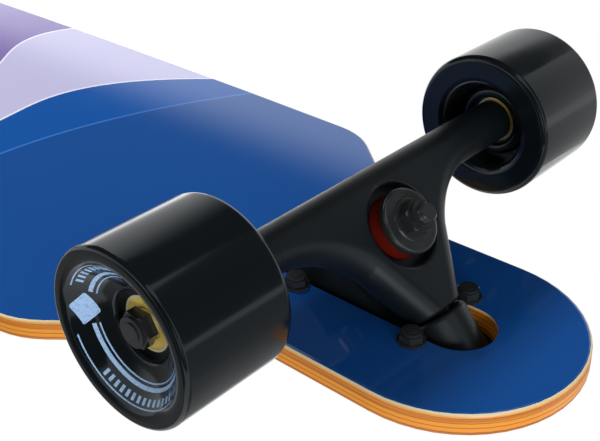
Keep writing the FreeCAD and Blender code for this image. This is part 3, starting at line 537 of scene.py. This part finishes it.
# cards off to the side: the glossy parts mirror them, as they mirror a darker studio in the photograph
cardLook = {
    # name: (place, aim, size, level, way it gets denser, shares of its width where that starts and ends)
    "cardDeck": ((-0.45, -0.25, -0.45), (-0.45, -0.25, 1.0), 2.0, 0.05, (0, 1, 0), (0.14, 0.23)),
    "cardTruck": ((1.20, -0.90, -0.62), (0.42, 0.0, 0.04), 1.5, 0.10, (0, 1, 0), (0.1, 0.5)),
    "cardFace": ((-0.45, 0.72, 0.72), (0.42, 0.13, 0.04), 1.2, 0.26, (0, 1, 0), (0.0, 0.3)),
    "cardDish": ((0.14, 0.92, 0.26), (0.42, 0.13, 0.04), 0.9, 0.05, (1, 0, 0), (0.0, 0.35)),
    "cardTreadTop": ((0.325, 0.02, -0.085), (0.42, 0.10, 0.0), 0.125, 1.0, (-1, 0, 0), (0.1, 0.7)),
    "cardSide": ((1.25, 0.75, -0.25), (0.42, 0.0, 0.04), 1.9, 0.03, (0, 1, 0), (0.0, 0.2)),
    "cardTreadLow": ((0.65, -0.15, 0.36), (0.44, 0.11, 0.035), 0.75, 0.30, (0, 1, 0), (0.0, 0.3)),
    "cardEdge": ((-0.25, -0.32, 0.10), (0.41, 0.0, 0.03), 0.4, 2.5, (0, 0, 1), (0.1, 0.5)),
}


def makeCardMaterial(name, level, shares):
    # Matt card lit evenly, thinning out to one side so that its mirror image has no hard line there.
    material, tree = startTree(name)
    face = addNode(tree, "ShaderNodeEmission", {"Color": (1, 1, 1, 1), "Strength": level})
    clear = addNode(tree, "ShaderNodeBsdfTransparent")
    across = addNode(tree, "ShaderNodeAttribute", {"attribute_name": "across"}).outputs["Fac"]
    start, end = shares
    dense = addNode(tree, "ShaderNodeMapRange",
                    {"From Min": start, "From Max": end, "interpolation_type": "SMOOTHSTEP"},
                    {"Value": across})
    mix = addNode(tree, "ShaderNodeMixShader",
                  links={0: dense.outputs[0], 1: clear.outputs[0], 2: face.outputs[0]})
    addNode(tree, "ShaderNodeOutputMaterial", links={"Surface": mix.outputs[0]})
    return material


for name, (place, aim, size, level, way, shares) in cardLook.items():
    facing = Vector(aim) - Vector(place)
    card = makeStagePlane(name, size, place, facing, makeCardMaterial(name, level, shares))
    spots = [v.co.dot(Vector(way)) for v in card.data.vertices]
    across = card.data.attributes.new("across", "FLOAT", "POINT")
    for i, spot in enumerate(spots):
        across.data[i].value = (spot - min(spots)) / (max(spots) - min(spots))
    hideFrom(card, "camera", "diffuse", "shadow")

# a flag below the truck: it only throws shade, so the tab between the bolts stays darker than the nose
flagLook = {"colour": "#1c1c1c", "place": (0.333, -0.03, -0.06), "long": 0.15, "wide": 0.085}


def makeFlag():
    # Black flag cloth: swallows the light that falls on it.
    cloth = startMaterial("blackFlagCloth", {"Base Color": linear(flagLook["colour"]), "Roughness": 0.9})[0]
    flag = makeStagePlane("shadeFlag", 1.0, (0, 0, 0), (0, 0, 1), cloth)
    scaling = Matrix.Diagonal((flagLook["wide"], flagLook["long"], 1.0, 1.0))
    flag.data.transform(Matrix.Translation(flagLook["place"]) @ scaling)
    hideFrom(flag, "camera", "diffuse", "glossy", "transmission")


makeFlag()

cameraLook = {
    "place": (0.6474, 0.2979, -0.1712), "right": (0.7463, -0.6654, 0.0141), "up": (-0.3259, -0.3839, -0.8639),
    "lensMm": 60.8, "sensorMm": 36.0, "clip": (0.01, 50),
}


def makeCamera():
    data = bpy.data.cameras.new("photoCamera")
    data.sensor_width = cameraLook["sensorMm"]
    data.lens = cameraLook["lensMm"]
    data.clip_start, data.clip_end = cameraLook["clip"]
    camera = bpy.data.objects.new("photoCamera", data)
    right = Vector(cameraLook["right"]).normalized()
    up = Vector(cameraLook["up"])
    up = (up - right * up.dot(right)).normalized()
    back = right.cross(up)
    turn = Matrix((right, up, back)).transposed().to_4x4()
    camera.matrix_world = Matrix.Translation(cameraLook["place"]) @ turn
    scene.collection.objects.link(camera)
    scene.camera = camera


makeCamera()
print("stage, lamps and camera set")
